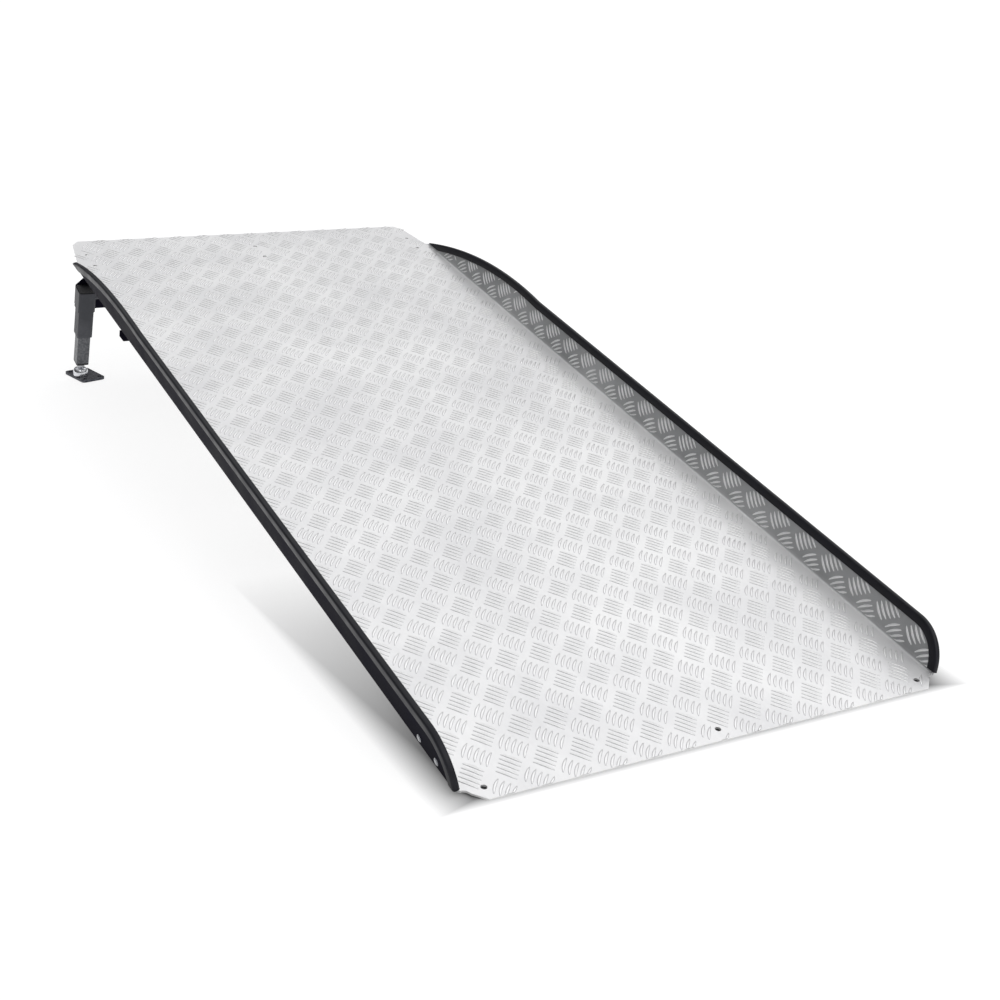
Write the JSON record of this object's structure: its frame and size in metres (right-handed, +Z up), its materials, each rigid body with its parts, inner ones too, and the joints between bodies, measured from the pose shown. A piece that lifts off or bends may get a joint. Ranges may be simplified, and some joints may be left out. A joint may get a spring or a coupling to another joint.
{
  "type": "folding loading ramp",
  "caption": "Sloping bent tread-plate deck with rubber-trimmed kerbs on a steel underframe, with folding telescopic legs on swivelling feet.",
  "frame": {"origin": "on the ground, under the middle of the ramp's footprint", "axes": "+X to the right looking up the slope, +Y horizontally towards the high end, +Z up"},
  "size_m": [0.833, 1.7811, 0.2708],
  "materials": {
    "tread_plate": "bright five-bar tread plate",
    "trim_rubber": "satin black",
    "frame_steel": "dark blue-grey powder coat",
    "leg_steel": "dark grey powder coat",
    "inner_steel": "zinc-plated grey",
    "zinc": "bright zinc plate",
    "black_nylon": "matt",
    "natural_nylon": "natural"
  },
  "bodies": {
    "ramp": {"deck_plate": "tread_plate", "edge_trim_left": "trim_rubber", "edge_trim_right": "trim_rubber", "side_rail_left": "frame_steel", "side_rail_right": "frame_steel", "side_rivets_left": "zinc", "side_rivets_right": "zinc", "cross_member_1": "frame_steel", "cross_member_2": "frame_steel", "cross_member_3": "frame_steel", "cross_member_4": "frame_steel", "tie_angle": "frame_steel", "head_member": "frame_steel", "toe_pad": "trim_rubber", "hinge_lug_left": "frame_steel", "hinge_lug_right": "frame_steel", "hinge_bush_left": "natural_nylon", "hinge_bush_right": "natural_nylon", "stop_block_left": "frame_steel", "stop_block_right": "frame_steel"},
    "leg_frame": {"leg_axle": "leg_steel", "axle_collars": "zinc", "leg_crossbar": "frame_steel", "leg_socket_left": "leg_steel", "leg_socket_right": "leg_steel", "outer_tube_left": "leg_steel", "outer_tube_right": "leg_steel", "tube_cap_left": "black_nylon", "tube_cap_right": "black_nylon", "leg_bolts": "zinc", "leg_washers": "zinc", "leg_nuts": "zinc", "tube_guide_left": "natural_nylon", "tube_guide_right": "natural_nylon"},
    "leg_slide_left": {"inner_tube_left": "inner_steel", "height_bolt_left": "zinc", "height_washer_left": "zinc", "height_nut_left": "zinc", "end_plug_left": "black_nylon", "thread_insert_left": "zinc"},
    "stem_left": {"foot_stem_left": "zinc"},
    "ball_cup_left": {"ball_liner_left": "natural_nylon"},
    "foot_left": {"foot_hub_left": "zinc", "foot_plate_left": "zinc"},
    "leg_slide_right": {"inner_tube_right": "inner_steel", "height_bolt_right": "zinc", "height_washer_right": "zinc", "height_nut_right": "zinc", "end_plug_right": "black_nylon", "thread_insert_right": "zinc"},
    "stem_right": {"foot_stem_right": "zinc"},
    "ball_cup_right": {"ball_liner_right": "natural_nylon"},
    "foot_right": {"foot_hub_right": "zinc", "foot_plate_right": "zinc"}
  },
  "joints": [
    {"name": "leg_fold", "type": "hinge", "parent": "ramp", "child": "leg_frame", "pos_m": [0, 0.76328, 0.1891], "axis": [1, 0, 0], "range_deg": [-98, 0]},
    {"name": "leg_height_left", "type": "slide", "parent": "leg_frame", "child": "leg_slide_left", "axis": [0, 0.2823, -0.9593], "range_m": [0, 0.04]},
    {"name": "stem_screw_left", "type": "slide", "parent": "leg_slide_left", "child": "stem_left", "axis": [0, 0.2823, -0.9593], "range_m": [0, 0.025]},
    {"name": "foot_tilt_left", "type": "hinge", "parent": "stem_left", "child": "ball_cup_left", "pos_m": [-0.381, 0.81481, 0.014], "axis": [1, 0, 0], "range_deg": [-4, 20]},
    {"name": "foot_swivel_left", "type": "hinge", "parent": "ball_cup_left", "child": "foot_left", "pos_m": [-0.381, 0.81481, 0.014], "axis": [0, 0, 1], "continuous": true},
    {"name": "leg_height_right", "type": "slide", "parent": "leg_frame", "child": "leg_slide_right", "axis": [0, 0.2823, -0.9593], "range_m": [0, 0.04]},
    {"name": "stem_screw_right", "type": "slide", "parent": "leg_slide_right", "child": "stem_right", "axis": [0, 0.2823, -0.9593], "range_m": [0, 0.025]},
    {"name": "foot_tilt_right", "type": "hinge", "parent": "stem_right", "child": "ball_cup_right", "pos_m": [0.381, 0.81481, 0.014], "axis": [1, 0, 0], "range_deg": [-4, 20]},
    {"name": "foot_swivel_right", "type": "hinge", "parent": "ball_cup_right", "child": "foot_right", "pos_m": [0.381, 0.81481, 0.014], "axis": [0, 0, 1], "continuous": true}
  ]
}
